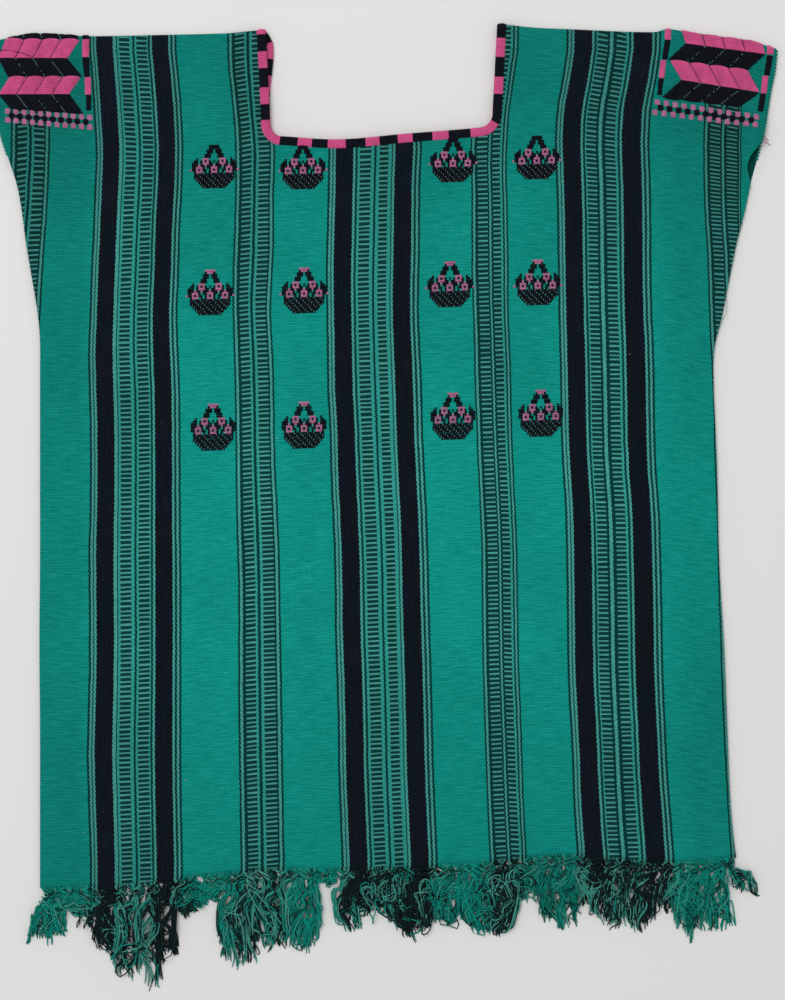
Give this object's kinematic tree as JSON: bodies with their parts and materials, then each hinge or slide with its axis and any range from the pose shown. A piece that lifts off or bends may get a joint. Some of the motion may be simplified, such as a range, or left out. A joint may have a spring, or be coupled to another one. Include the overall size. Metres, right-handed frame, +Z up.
{
  "type": "huipil blouse",
  "caption": "Boxy short-sleeved woven blouse laid flat: striped cloth folded at the shoulders, bound square neck, brocaded motifs and a twisted fringe.",
  "frame": {"origin": "on the surface the blouse lies on, under the middle of its outline", "axes": "+Y from the hem to the shoulders, +Z up out of the front layer, +X to the wearer's left"},
  "size_m": [0.6659, 0.8206, 0.0078],
  "materials": {
    "striped_cotton": "matt handwoven cotton with warp stripes",
    "wrapped_yarn": "black and pink yarn wrapped over the edge",
    "fringe_yarn": "loose green and black cotton yarn"
  },
  "bodies": {
    "root": {"body_cloth": "striped_cotton", "neck_binding": "wrapped_yarn", "front_fringe": "fringe_yarn", "back_fringe": "fringe_yarn"}
  },
  "joints": []
}
